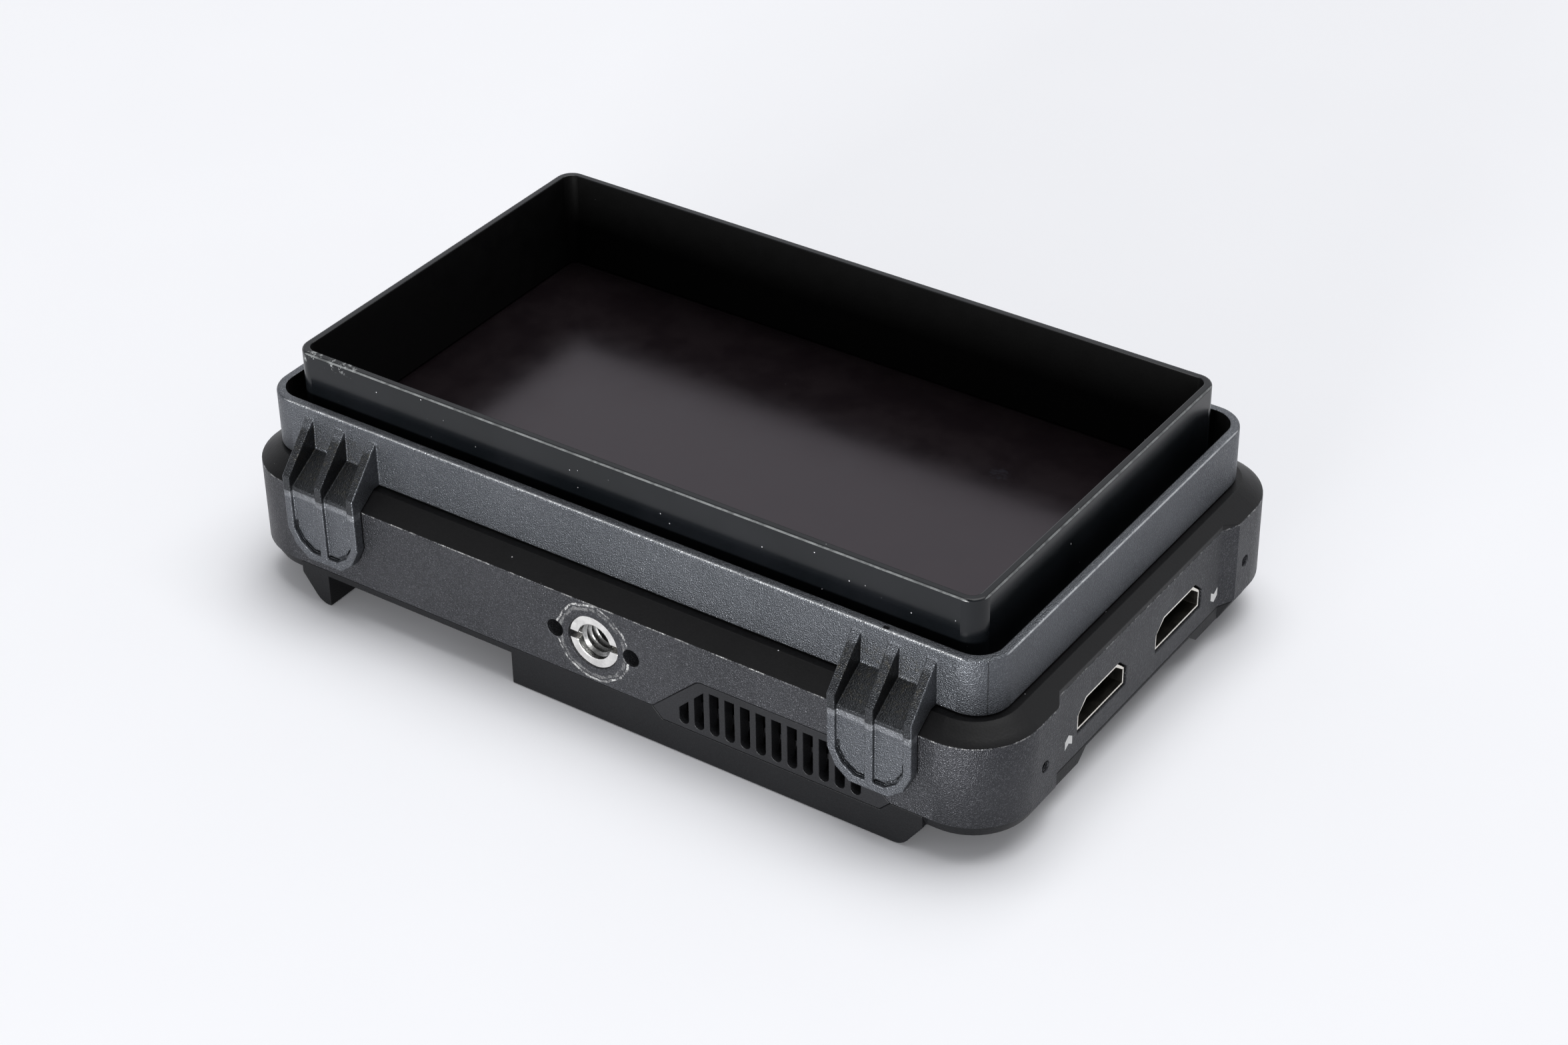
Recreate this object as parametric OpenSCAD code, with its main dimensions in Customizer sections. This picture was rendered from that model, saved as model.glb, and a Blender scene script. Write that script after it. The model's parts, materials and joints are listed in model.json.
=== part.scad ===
// Camera field monitor with a clip-on sun hood, lying on its back.
// The screen faces +Z, the long side runs along X, and z = 0 is the surface that the back lies on.
// The side at -Y is the one with the reducer in its mounting thread; the sockets are at +X and -X.

/* [Monitor body] */
// Length of the body along X
body_l = 151; // [145:1:165]
// Width of the body along Y
body_w = 93; // [88:1:104]
// Corner radius of the body seen from the front
corner_r = 11.5; // [10:0.5:14]
// Height of the grey side wall
side_h = 15.3; // [15:0.1:18]
// Thickness of the long side walls
wall = 2; // [1.6:0.1:2.4]
// Thickness of the two end walls that hold the sockets
end_wall = 3.6; // [3.2:0.1:4.2]
// Width of the shelf inside the side wall that carries the display
shelf_w = 7; // [6:0.5:8]
// Thickness of that shelf
shelf_t = 1.4; // [1:0.1:2]

/* [Front] */
// Height of the black bevel between the side wall and the front
bevel_h = 2.4; // [2:0.1:3]
// Width of that bevel
bevel_w = 3.6; // [3:0.1:4]
// Distance from the end of the body to the cover glass
glass_in_x = 5; // [4.5:0.5:7]
// Distance from the side of the body to the cover glass
glass_in_y = 5.5; // [4.5:0.5:7]
// Corner radius of the cover glass
glass_r = 8.5; // [6:0.5:9]
// Thickness of the cover glass
glass_t = 1.6; // [1.2:0.1:1.7]
// How far the glass lies below the front of the bezel
glass_sink = 0.2; // [0.1:0.1:0.3]
// Distance from the end of the cover glass to the display panel
panel_in_x = 8.5; // [7.5:0.5:12]
// Distance from the side of the cover glass to the display panel
panel_in_y = 4.5; // [4:0.5:7]
// Thickness of the display panel
panel_t = 3; // [2.6:0.1:3.2]

/* [End recesses] */
// Depth of the flat recess around the sockets
recess_d = 1.5; // [1:0.1:1.7]
// Length of the recess floor towards the thread side
recess_near = 26.4; // [24:0.1:27]
// Length of the recess floor away from it
recess_far = 26.4; // [24:0.1:27]
// Length of the slope at the far end of the recess
recess_slope = 3.2; // [2:0.1:4]
// Length of the slope at the near end of the recess
recess_step = 2.6; // [1:0.1:4]

/* [Back] */
// Depth of the raised back below the side wall
back_d = 7.3; // [7:0.1:9]
// Height of the bevelled lip of the rear cover
lip_h = 2.5; // [2.3:0.1:3]
// Distance from the end of the body to the flat of the raised back
raised_in = 18.5; // [17:0.5:19]
// Width of the flat foot beside the battery bay
bay_foot = 0.6; // [0.4:0.1:1]
// Width of the battery bay
battery_bay_w = 39.2; // [38.8:0.1:39.6]
// Depth of the battery bay
battery_bay_d = 6.1; // [5.6:0.1:6.3]
// Length of the battery bay from the near side
battery_bay_l = 78; // [76:1:82]
// Thickness of the wall beside the drive bay
bay_side = 1.5; // [1.2:0.1:2]
// Depth of the drive bay
drive_bay_d = 7.2; // [7:0.1:7.2]
// Length of the rear cover left past the inner end of the drive bay
drive_end = 5; // [4.5:0.5:9]
// Thickness of the rear cover over the drive bay
bay_roof_t = 1.5; // [1.2:0.1:1.7]
// Overhang of the two drive rails
rail_over = 2; // [1.5:0.1:2.5]
// Thickness of the two drive rails
rail_t = 1.2; // [1:0.1:1.6]

/* [Vents] */
// Number of slots in each vent
slots = 12; // [8:1:13]
// Distance from one slot to the next
slot_pitch = 2.95; // [2.8:0.05:3]
// Width of one slot
slot_w = 1.8; // [1.4:0.1:1.9]
// Position of the middle of the vents along X
vent_x = 33.9; // [33:0.1:34.5]
// Height of the vents above the seam
vent_h = 8.3; // [7.5:0.1:9]
// Length of the vents at the top edge
vent_top_l = 26.8; // [26:0.1:28]

/* [Mounting threads] */
// Height of the mounting threads above the seam
thread_up = 7.7; // [7:0.1:8]
// Radius of the large mounting thread
thread_r = 4.76; // [4.6:0.02:5]
// Depth of the mounting thread
thread_d = 9.4; // [8.6:0.1:9.4]
// Radius of the small thread inside the reducer
small_thread_r = 3.175; // [3:0.025:3.2]
// Distance from the thread to each anti-twist hole
twist_pitch = 7.55; // [7.4:0.05:8]
// Radius of the anti-twist holes
twist_r = 1.55; // [1.3:0.05:1.7]

/* [Sockets and controls] */
// Distance of each video socket from the middle along Y
video_y = 12.5; // [12:0.1:13]
// Width of a video socket
video_w = 14.8; // [14:0.1:15]
// Height of a video socket
video_h = 5.2; // [5:0.1:5.6]
// Depth of a video socket
video_d = 11; // [9:0.5:12]
// Distance of each clamp screw hole from the middle along Y
clamp_y = 32.6; // [32:0.1:33.5]
// Height of the clamp screw holes above the seam
clamp_up = 6.3; // [6:0.1:8]
// Radius of the clamp screw holes
clamp_r = 1; // [0.8:0.1:1.2]
// Bore radius of the two audio jacks
jack_r = 1.8; // [1.75:0.05:1.9]
// Bore radius of the remote jack
remote_r = 1.3; // [1.25:0.05:1.4]
// Length of the power button
power_l = 9; // [7:0.5:10]
// Width of the power button
power_w = 4; // [3:0.5:5]
// Travel of the power button
power_travel = 0.8; // [0.4:0.1:1]

/* [Inside] */
// Thickness of the main board
board_t = 1.6; // [1.2:0.1:1.6]
// Radius of the fan rotor
fan_r = 13.8; // [12:0.1:14]
// Number of fan blades
blades = 13; // [9:1:15]
// Height of the fan housing
fan_h = 8.6; // [8:0.1:8.7]

/* [Sun hood] */
// Distance from the end of the body to the hood frame
hood_in_x = 4.2; // [3.8:0.1:5.5]
// Distance from the side of the body to the hood frame
hood_in_y = 5; // [4.8:0.1:6]
// Distance of the clipped-on hood from the middle, along X
hood_shift = -0.6; // [-0.8:0.1:0.8]
// Corner radius of the hood frame
hood_r = 6; // [5:0.5:9]
// Height of the hood frame
hood_h = 10.3; // [8:0.1:14]
// Wall thickness of the hood frame
hood_t = 1.6; // [1.3:0.1:2]
// Thickness of the flange under the hood frame
flange_t = 1.6; // [1.2:0.1:2]
// Width of the channel between frame and shade at the two ends
channel_x = 3.1; // [2.2:0.1:4]
// Width of the channel between frame and shade along the two sides
channel_y = 2.3; // [2:0.1:3]
// Corner radius of the inner shade
shade_r = 3.2; // [2.5:0.1:5]
// Height of the inner shade
shade_h = 17.9; // [16:0.1:40]
// Wall thickness of the inner shade
shade_t = 1.4; // [1.2:0.1:1.8]
// Gap between the hood and the front of the monitor
hood_gap = 0.2; // [0.1:0.05:0.3]

/* [Hood clips] */
// Distance of each clip from the middle along X
clip_x = 54.3; // [52:0.1:55]
// Width of a clip
clip_w = 15.2; // [14:0.1:17]
// Thickness of a clip
clip_t = 1.3; // [1:0.1:1.6]
// Height of the rim and ribs above the face of a clip
rib_up = 0.6; // [0.4:0.1:1]
// Width of the rim and of the ribs at the knee
rib_w = 1.5; // [1.2:0.1:2]
// Width of the ribs at their upper end
rib_top_w = 2; // [1.6:0.1:2.4]
// Height of the sloping web between the ribs, where it meets the frame
web_up = 2.6; // [1.6:0.1:4]
// How far the clips reach down from the front
clip_reach = 14.7; // [13:0.1:16]
// Clearance between a clip and the side wall
clip_gap = 0.15; // [0.1:0.05:0.3]

/* [Hidden] */
$fn = 48;
// Clearance between pieces that fit into each other
fit = 0.1;
// Extra length that makes a cut pass right through
over = 1;
seam_z = back_d;
side_top = seam_z + side_h;
front_z = side_top + bevel_h;
half_l = body_l / 2;
half_w = body_w / 2;
inner_l = body_l - 2 * end_wall;
inner_w = body_w - 2 * wall;
inner_r = corner_r - end_wall;
glass_l = body_l - 2 * glass_in_x;
glass_w = body_w - 2 * glass_in_y;
panel_l = glass_l - 2 * panel_in_x;
panel_w = glass_w - 2 * panel_in_y;
lip_z = seam_z - lip_h;
// Rear cover
cover_in = 0.15;
lip_bevel = 1.3;
rim_t = 1.2;
rim_h = 1.4;
raised_half = half_l - raised_in;
raised_slope = 5.2;
raised_round = 3;
lip_step = 0.2;
bay_wall = 2.1;
battery_x0 = -raised_half + bay_foot;
battery_x1 = battery_x0 + battery_bay_w;
battery_mid = battery_x0 + battery_bay_w / 2;
drive_x0 = battery_x1 + bay_wall;
drive_x1 = raised_half - bay_side;
drive_mid = (drive_x0 + drive_x1) / 2;
battery_floor = battery_bay_d;
roof_z = drive_bay_d + bay_roof_t;
drive_y0 = -half_w + drive_end;
battery_y1 = -half_w + battery_bay_l;
notch_half = 17;
notch_up = 1.9;
notch_slope = 2.4;
// Case screws
screw_in_x = 9.5;
screw_in_y = 9;
screw_x = half_l - screw_in_x;
screw_y = half_w - screw_in_y;
screw_r = 1.1;
screw_head_r = 2;
screw_head_h = 1.2;
screw_boss_r = 3.6;
hex_r = 0.9;
hex_d = 0.8;
screw_reach = 6;
// Display stack, from the glass down
glass_top = front_z - glass_sink;
glass_z = glass_top - glass_t;
panel_z = glass_z - panel_t;
plate_t = 1;
plate_z = panel_z - plate_t;
shelf_top = plate_z;
shelf_z = shelf_top - shelf_t;
plate_margin = 3.4;
plate_round = 2;
window_margin = 2;
// Vents
vent_side = 9;
vent_down = 1.9;
vent_t = 2.2;
vent_rim = 1.4;
vent_round = 2;
fan_clear = 0.3;
hub_clear = 3;
slot_low = 1;
air_path = 1.7;
// Mounting threads
thread_z = seam_z + thread_up;
boss_half = 12;
boss_d = 9.7;
boss_up = 6.2;
reducer_r = thread_r + 0.1;
reducer_fit = 0.02;
reducer_sink = 0.3;
driver_slot_w = 1.3;
driver_slot_d = 1.6;
twist_d = 4;
// Board and what stands on it
board_gap = 1;
board_z = roof_z + board_gap;
board_top = board_z + board_t;
board_in_x = 7;
board_in_y = 13;
board_half_l = half_l - board_in_x;
board_half_w = half_w - board_in_y;
standoff_in = 5;
standoff_in_y = 7;
standoff_clear = 5;
standoff_mid_x = drive_x0 - bay_roof_t - standoff_clear;
standoff_r = 2.4;
// Processor, memory and small chips
chip_t = 1;
processor_x = -26;
processor_w = 20;
processor_t = 1.4;
memory_l = 9;
memory_w = 14;
memory_pitch = 12;
memory_x = -10;
driver_w = 10;
// Heat sink
sink_w = 24;
sink_base = 1.2;
sink_gap = 0.4;
fins = 7;
fin_t = 1.2;
// Ribbon to the display
ribbon_t = 0.3;
ribbon_w = 16;
ribbon_in = 14;
ribbon_y = 8;
fan_x = vent_x;
fan_in_y = 21;
fan_y = -half_w + fan_in_y;
fan_half = 19;
fan_gap = 0.8;
fan_wall = 0.9;
fan_floor = 1;
fan_back = 17;
shaft_r = 1;
shaft_gap = 0.05;
bush_r = 2.2;
boss_tube_r = 3;
hub_r = 6.5;
cup_r = 5.6;
magnet_gap = 0.5;
bush_h = 3.5;
stator_h = 2.8;
shaft_cover = 0.6;
fan_z = roof_z;
rotor_gap = 0.4;
rotor_z = fan_z + fan_floor + rotor_gap;
rotor_top = fan_z + fan_h - fan_wall - rotor_gap;
socket_z = board_top;
port_z = socket_z + 2.9;
recess_x = half_l - recess_d;
video_knee = 0.6;
video_lean = 1.15;
shell_t = 0.4;
shell_sink = 0.3;
port_gap = 0.3;
clamp_d = 5;
tongue_back = 2;
tongue_l = 11.2;
tongue_up = 2.2;
tongue_t = 1.1;
tongue_short = 3;
jack_nose_r = 3;
jack_body_l = 10.2;
jack_body_w = 6.4;
jack_body_h = 5.8;
jack_ys = [3, -8];
remote_y = -18;
jack_d = 11.5;
power_y = 17;
power_out = 0.6;
power_flange = 0.8;
power_flange_t = 0.8;
power_gap = 0.15;
switch_l = 3.6;
switch_w = 6;
switch_h = 5.4;
// Battery plate and terminal
bay_fit = 0.5;
battery_plate_t = 1;
battery_head = 8;
hook_l = 8;
hook_h = 2.6;
hook_t = 0.8;
hook_over = 2.4;
terminal_l = 14;
terminal_w = 4;
terminal_h = 4;
contact_l = 5;
contact_t = 0.8;
contact_pitch = 4.6;
// Drive connector
connector_l = 42;
connector_w = 4;
connector_h = 5.6;
blade_l = 34;
blade_w = 4;
blade_up = 2.4;
blade_thick = 1.2;
drive_pins = 22;
drive_pin_pitch = 1.5;
drive_pin_w = 0.8;
drive_pin_t = 0.2;
// Latches: a pad that stands out of the bay floor on a flange that rests inside
latch_gap = 0.2;
latch_flange = 1;
latch_flange_t = 1;
latch_lift = 0.1;
battery_latch_l = 12;
battery_latch_w = 4.4;
battery_latch_out = 1.4;
latch_in = 6.5;
battery_latch_y = -half_w + latch_in;
drive_latch_l = 10;
drive_latch_w = 4.4;
drive_latch_out = 1.4;
drive_latch_x = drive_mid;
drive_latch_y = half_w - latch_in;
spring_r = 1.8;
spring_wire = 0.3;
spring_turns = 5;
// Sun hood
hood_z = front_z + hood_gap;
foot_w = 1.6;
foot_t = 1;
clip_bottom = front_z - clip_reach;
clip_root = 0.8;
clip_shoulder = 5.2;
clip_corner = 2;
clip_foot = 4;
rib_down = 1.9;
rib_top = hood_z + hood_h - rib_down;
knee_up = 0.4;
groove_w = 0.4;
groove_d = 0.5;
frame_edge = 0.3;
shade_edge = 0.25;
hood_l = body_l - 2 * hood_in_x;
hood_w = body_w - 2 * hood_in_y;
shade_l = hood_l - 2 * hood_t - 2 * channel_x;
shade_w = hood_w - 2 * hood_t - 2 * channel_y;

// Flat outlines and basic solids

module rounded_outline(l, w, r) {
    square([l - 2 * r, w], center = true);
    square([l, w - 2 * r], center = true);
    for (x = [-1, 1], y = [-1, 1])
        translate([x * (l / 2 - r), y * (w / 2 - r)]) circle(r);
}

module rounded_slab(l, w, r, h) {
    linear_extrude(h) rounded_outline(l, w, r);
}

// A rounded slab whose sides lean in by inset over its height.
module bevelled_slab(l, w, r, h, inset) {
    rotate([90, 0, 90]) translate([0, 0, -(l / 2 - r)]) linear_extrude(l - 2 * r)
        polygon([[-w / 2, 0], [w / 2, 0], [w / 2 - inset, h], [-w / 2 + inset, h]]);
    rotate([90, 0, 0]) translate([0, 0, -(w / 2 - r)]) linear_extrude(w - 2 * r)
        polygon([[-l / 2, 0], [l / 2, 0], [l / 2 - inset, h], [-l / 2 + inset, h]]);
    for (x = [-1, 1], y = [-1, 1])
        translate([x * (l / 2 - r), y * (w / 2 - r), 0]) cylinder(h = h, r1 = r, r2 = r - inset);
}

// A rounded slab with a small chamfer round its top edge.
module edged_slab(l, w, r, h, edge) {
    rounded_slab(l, w, r, h - edge);
    translate([0, 0, h - edge]) bevelled_slab(l, w, r, edge, edge);
}

// A box given by its lowest and highest corners.
module block(low, high) {
    translate(low) cube(high - low);
}

// A shape drawn in X and Z, extruded from y0 to y1.
module along_y(y0, y1) {
    translate([0, y1, 0]) rotate([90, 0, 0]) linear_extrude(y1 - y0) children();
}

// A shape drawn in Y and Z, extruded from x0 to x1.
module along_x(x0, x1) {
    translate([x0, 0, 0]) rotate([90, 0, 90]) linear_extrude(x1 - x0) children();
}

// Monitor body

// The material that both end recesses take away from the rear cover, the chassis and the bezel.
module end_recesses() {
    for (side = [0, 1]) mirror([side, 0, 0])
        translate([0, 0, lip_z - over]) linear_extrude(front_z - lip_z + 2 * over)
            polygon([[half_l + over, -recess_near - recess_step * (1 + over / recess_d)],
                [recess_x, -recess_near], [recess_x, recess_far],
                [half_l + over, recess_far + recess_slope * (1 + over / recess_d)]]);
}

module vent_outline(grow = 0) {
    top = vent_top_l / 2 + grow;
    bottom = vent_top_l / 2 + vent_side + grow;
    turn = atan2(vent_h, vent_side) / 2;
    hull() {
        polygon([[vent_x - bottom + vent_down, seam_z - vent_down - grow],
            [vent_x + bottom - vent_down, seam_z - vent_down - grow], [vent_x + bottom, seam_z],
            [vent_x - bottom, seam_z]]);
        for (x = [-1, 1])
            translate([vent_x + x * (top - vent_round * tan(turn)), seam_z + vent_h + grow - vent_round])
                circle(vent_round);
    }
}

module vent_cut(side) {
    mirror([0, side, 0]) along_y(-half_w - over, -half_w + vent_t + fit) vent_outline(fit / 2);
}

// A mounting thread with its two anti-twist holes, on the -Y side or mirrored to the +Y side.
module thread_holes(side, r) {
    mirror([0, side, 0]) translate([0, -half_w - over, thread_z]) rotate([-90, 0, 0]) {
        cylinder(h = thread_d + over, r = r);
        for (x = [-1, 1]) translate([x * twist_pitch, 0, 0]) cylinder(h = twist_d + over, r = twist_r);
    }
}

module video_outline(grow = 0) {
    half = video_w / 2 + grow;
    knee = video_h * video_knee + grow / 2;
    top = half - video_h * (1 - video_knee) * video_lean;
    polygon([[-half, -grow], [half, -grow], [half, knee], [top, video_h + grow], [-top, video_h + grow],
        [-half, knee]]);
}

module pill_outline(l, w) {
    square([l - w, w], center = true);
    for (x = [-1, 1]) translate([x * (l - w) / 2, 0]) circle(w / 2);
}

module socket_cuts() {
    for (y = [-1, 1])
        along_x(inner_l / 2 - over, half_l + over)
            translate([y * video_y, socket_z + fit]) video_outline(port_gap);
    for (y = [-1, 1])
        translate([half_l - clamp_d, y * clamp_y, seam_z + clamp_up]) rotate([0, 90, 0])
            cylinder(h = clamp_d + over, r = clamp_r);
    for (y = [each jack_ys, remote_y])
        translate([-half_l - over, y, port_z]) rotate([0, 90, 0])
            cylinder(h = end_wall + 2 * over, r = jack_nose_r + fit);
    along_x(-half_l - over, -inner_l / 2 + over)
        translate([power_y, port_z]) pill_outline(power_l + 2 * power_gap, power_w + 2 * power_gap);
}

module chassis() {
    color([0.24, 0.25, 0.27]) difference() {
        union() {
            difference() {
                translate([0, 0, seam_z]) rounded_slab(body_l, body_w, corner_r, side_h);
                translate([0, 0, seam_z - over]) rounded_slab(inner_l, inner_w, inner_r, side_h + 2 * over);
            }
            translate([0, 0, shelf_z]) difference() {
                rounded_slab(inner_l + fit, inner_w + fit, inner_r, shelf_t);
                translate([0, 0, -over])
                    rounded_slab(inner_l - 2 * shelf_w, inner_w - 2 * shelf_w, inner_r / 2,
                        shelf_t + 2 * over);
            }
            for (y = [-1, 1])
                translate([0, y * (half_w - (boss_d + over) / 2), thread_z])
                    cube([2 * boss_half, boss_d - over, 2 * boss_up], center = true);
            for (x = [-1, 1], y = [-1, 1])
                translate([x * screw_x, y * screw_y, seam_z + rim_h + fit])
                    cylinder(h = shelf_z - seam_z - rim_h, r = screw_boss_r);
        }
        end_recesses();
        vent_cut(0);
        vent_cut(1);
        thread_holes(0, reducer_r + reducer_fit);
        thread_holes(1, thread_r);
        socket_cuts();
        for (x = [-1, 1], y = [-1, 1])
            translate([x * screw_x, y * screw_y, seam_z - over])
                cylinder(h = rim_h + screw_reach, r = screw_r);
    }
}

module front_bezel() {
    color([0.03, 0.03, 0.035]) difference() {
        translate([0, 0, side_top]) bevelled_slab(body_l, body_w, corner_r, bevel_h, bevel_w);
        translate([0, 0, side_top - over])
            rounded_slab(panel_l + 2 * window_margin, panel_w + 2 * window_margin, 2, bevel_h + 2 * over);
        translate([0, 0, glass_z])
            rounded_slab(glass_l + 2 * fit, glass_w + 2 * fit, glass_r + fit, bevel_h + over);
        end_recesses();
    }
}

module cover_glass() {
    color([0.05, 0.045, 0.05]) translate([0, 0, glass_z]) rounded_slab(glass_l, glass_w, glass_r, glass_t);
}

module lcd_panel() {
    color([0.1, 0.1, 0.11]) translate([0, 0, panel_z]) rounded_slab(panel_l, panel_w, 1, panel_t);
}

module panel_plate() {
    notch_l = 2 * boss_half + 4 * fit;
    notch_w = 2 * (boss_d + plate_margin);
    color([0.7, 0.7, 0.72]) difference() {
        translate([0, 0, plate_z])
            rounded_slab(inner_l - 2 * plate_margin, inner_w - 2 * plate_margin, inner_r - plate_round,
                plate_t);
        for (y = [-1, 1]) translate([0, y * (half_w + plate_margin - 3 * fit), plate_z])
            cube([notch_l, notch_w, 4 * plate_t], center = true);
    }
}

// A ribbon that rises from the board in an S to the plate behind the panel.
module panel_flex() {
    bend = (shelf_z - board_top) / 3;
    x0 = -board_half_l + ribbon_in;
    x1 = x0 + bend;
    color([0.75, 0.45, 0.15]) along_y(ribbon_y, ribbon_y + ribbon_w)
        polygon([[x0, board_top], [x0 + ribbon_t, board_top], [x0 + ribbon_t, board_top + bend],
            [x1 + ribbon_t, board_top + 2 * bend], [x1 + ribbon_t, plate_z], [x1, plate_z],
            [x1, board_top + 2 * bend], [x0, board_top + bend]]);
}

// Board and what stands on it

// Where the board is screwed down: a row of three along each long side.
standoff_xs = [standoff_in - board_half_l, standoff_mid_x, board_half_l - standoff_in];
standoffs = [for (x = standoff_xs, y = [-1, 1]) [x, y * (board_half_w - standoff_in_y)]];

module main_board() {
    color([0.05, 0.3, 0.15]) difference() {
        block([-board_half_l, -board_half_w, board_z], [board_half_l, board_half_w, board_top]);
        block([fan_x - fan_half - fan_gap, -board_half_w - over, board_z - over],
            [fan_x + fan_half + fan_gap, fan_y + fan_back + fan_gap, board_top + over]);
        for (p = standoffs) translate([p[0], p[1], board_z - over])
            cylinder(h = board_t + 2 * over, r = screw_r);
    }
}

module chip(x, y, l, w, t) {
    block([x, y, board_top], [x + l, y + w, board_top + t]);
}

module board_chips() {
    color([0.08, 0.08, 0.09]) {
        chip(processor_x - processor_w / 2, -processor_w / 2, processor_w, processor_w, processor_t);
        for (i = [0, 1]) chip(memory_x + i * memory_pitch, -memory_w / 2, memory_l, memory_w, chip_t);
        chip(processor_x - processor_w - driver_w / 2, -board_half_w + standoff_in_y, driver_w, driver_w,
            chip_t);
        chip(fan_x - fan_half, board_half_w - 2 * driver_w, memory_w, driver_w, chip_t);
        chip(fan_x + fan_half - driver_w, board_half_w - 2 * driver_w, driver_w, driver_w, chip_t);
    }
}

module board_standoffs() {
    color([0.75, 0.62, 0.3]) for (p = standoffs) translate([p[0], p[1], seam_z]) difference() {
        cylinder(h = board_z - seam_z, r = standoff_r, $fn = 6);
        translate([0, 0, -over]) cylinder(h = board_z - seam_z + 2 * over, r = screw_r);
    }
}

module board_screws() {
    color([0.7, 0.7, 0.72]) for (p = standoffs) translate([p[0], p[1], 0]) difference() {
        union() {
            translate([0, 0, board_top]) cylinder(h = screw_head_h, r = screw_head_r);
            translate([0, 0, seam_z + fit]) cylinder(h = board_top - seam_z, r = screw_r - fit / 2);
        }
        translate([0, 0, board_top + screw_head_h - hex_d]) cylinder(h = over, r = hex_r, $fn = 6);
    }
}

module heat_sink() {
    base_z = board_top + processor_t;
    fin_pitch = (sink_w - fin_t) / (fins - 1);
    color([0.6, 0.61, 0.63]) translate([processor_x - sink_w / 2, -sink_w / 2, base_z]) {
        cube([sink_w, sink_w, sink_base]);
        for (i = [0:fins - 1]) translate([i * fin_pitch, 0, sink_base - fit])
            cube([fin_t, sink_w, shelf_z - sink_gap - base_z - sink_base + fit]);
    }
}

module fan_housing() {
    cavity_z = fan_z + fan_floor;
    cavity_h = fan_h - fan_floor - fan_wall;
    color([0.1, 0.1, 0.11]) {
        difference() {
            block([fan_x - fan_half, -half_w + vent_t + fan_clear, fan_z],
                [fan_x + fan_half, fan_y + fan_back, fan_z + fan_h]);
            translate([fan_x, fan_y, cavity_z]) cylinder(h = cavity_h, r = fan_r + fan_gap);
            block([fan_x - fan_r - fan_gap, -half_w, cavity_z],
                [fan_x + fan_r + fan_gap, fan_y, cavity_z + cavity_h]);
            translate([fan_x, fan_y, cavity_z]) cylinder(h = fan_h, r = hub_r + hub_clear);
        }
        translate([fan_x, fan_y, cavity_z - fit]) difference() {
            cylinder(h = bush_h + fit, r = boss_tube_r);
            translate([0, 0, -over]) cylinder(h = bush_h + 2 * over, r = bush_r);
        }
    }
}

module fan_stator() {
    color([0.6, 0.3, 0.12]) translate([fan_x, fan_y, fan_z + fan_floor]) difference() {
        cylinder(h = stator_h, r = cup_r - magnet_gap);
        translate([0, 0, -over]) cylinder(h = stator_h + 2 * over, r = boss_tube_r + fit / 2);
    }
}

module fan_bush() {
    color([0.72, 0.55, 0.3]) translate([fan_x, fan_y, fan_z + fan_floor]) difference() {
        cylinder(h = bush_h, r = bush_r);
        translate([0, 0, -over]) cylinder(h = bush_h + 2 * over, r = shaft_r + shaft_gap);
    }
}

module fan_rotor() {
    cap_t = 1.5;
    disc_t = 0.6;
    blade_t = 0.7;
    blade_turn = -25;
    color([0.14, 0.14, 0.15]) translate([fan_x, fan_y, 0]) {
        difference() {
            translate([0, 0, rotor_z]) cylinder(h = rotor_top - rotor_z, r = hub_r);
            translate([0, 0, rotor_z - over]) cylinder(h = rotor_top - rotor_z - cap_t + over, r = cup_r);
            translate([0, 0, rotor_z]) cylinder(h = rotor_top - rotor_z - shaft_cover, r = shaft_r);
        }
        difference() {
            translate([0, 0, rotor_z]) cylinder(h = disc_t, r = fan_r);
            translate([0, 0, rotor_z - over]) cylinder(h = disc_t + 2 * over, r = hub_r - fit);
        }
        for (i = [0:blades - 1]) rotate(i * 360 / blades)
            translate([hub_r - 3 * fit, 0, rotor_z + disc_t / 2]) rotate(blade_turn)
                cube([fan_r - hub_r - over, blade_t, rotor_top - rotor_z - disc_t]);
    }
}

module fan_shaft() {
    color([0.75, 0.75, 0.78]) translate([fan_x, fan_y, rotor_z - 2 * fit])
        cylinder(h = rotor_top - rotor_z - shaft_cover + 2 * fit, r = shaft_r);
}

// Rear cover and its bays

module rear_lip() {
    translate([0, 0, seam_z]) mirror([0, 0, 1])
        bevelled_slab(body_l - 2 * cover_in, body_w - 2 * cover_in, corner_r - cover_in, lip_h,
            lip_bevel);
}

// The raised back seen from the side: slopes from the lip that round into the flat.
module raised_outline() {
    rise = lip_z + lip_step - raised_round;
    turn = 90 + atan2(rise, raised_slope) - acos(raised_round / norm([raised_slope, rise]));
    steps = 4;
    side = [for (i = [0:steps]) let (a = i * turn / steps)
        [raised_half + raised_round * sin(a), raised_round * (1 - cos(a))]];
    edge = raised_half + raised_slope;
    polygon([each side, [edge, lip_z + lip_step], [edge, seam_z], [-edge, seam_z], [-edge, lip_z + lip_step],
        for (i = [steps:-1:0]) [-side[i][0], side[i][1]]]);
}

module raised_back() {
    intersection() {
        along_y(-half_w, half_w) raised_outline();
        along_x(-half_l, half_l)
            polygon([[-half_w, 0], [half_w - cover_in - raised_slope, 0], [half_w - cover_in, lip_z],
                [half_w - cover_in, seam_z], [-half_w, seam_z]]);
    }
}

module latch_hole(x, y, l, w) {
    translate([x, y, 0]) cube([l + 2 * latch_gap, w + 2 * latch_gap, 3 * back_d], center = true);
}

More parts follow.
